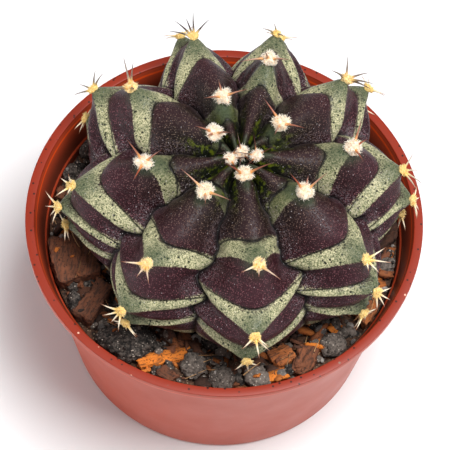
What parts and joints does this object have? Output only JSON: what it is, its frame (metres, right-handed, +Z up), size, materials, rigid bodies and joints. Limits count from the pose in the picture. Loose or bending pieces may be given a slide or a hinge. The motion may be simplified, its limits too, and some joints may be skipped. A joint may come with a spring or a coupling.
{
  "type": "potted chin cactus",
  "caption": "Ribbed globular chin cactus with banded chins, woolly areoles and short spines, standing in bark and lava potting mix in a low round plastic nursery pot.",
  "frame": {"origin": "on the pot's axis, on the surface that the pot stands on", "axes": "+Z up out of the pot; the pictured front faces -Y; +X is to the right seen from the front"},
  "size_m": [0.085, 0.085, 0.0752],
  "materials": {
    "pot": "satin injection-moulded polypropylene, terracotta colour",
    "cactus": "waxy skin, purple chins with green speckled bands, cream wool and spines",
    "soil": "damp dark fines with fibres",
    "bark": "rough broken bark",
    "lava": "porous matt lava rock",
    "pebble": "rough grey grit"
  },
  "bodies": {
    "root": {"bark_chip_01": "bark", "bark_chip_02": "bark", "bark_chip_03": "bark", "bark_chip_04": "bark", "bark_chip_05": "bark", "bark_chip_06": "bark", "bark_chip_07": "bark", "bark_chip_08": "bark", "bark_chip_09": "bark", "bark_chip_10": "bark", "bark_chip_11": "bark", "bark_chip_12": "bark", "bark_chip_13": "bark", "bark_chip_14": "bark", "cactus": "cactus", "lava_lump_01": "lava", "lava_lump_02": "lava", "lava_lump_03": "lava", "lava_lump_04": "lava", "lava_lump_05": "lava", "lava_lump_06": "lava", "lava_lump_07": "lava", "lava_lump_08": "lava", "lava_lump_09": "lava", "lava_lump_10": "lava", "lava_lump_11": "lava", "pebble_01": "pebble", "pebble_02": "pebble", "pebble_03": "pebble", "pebble_04": "pebble", "pot": "pot", "soil": "soil"}
  },
  "joints": []
}
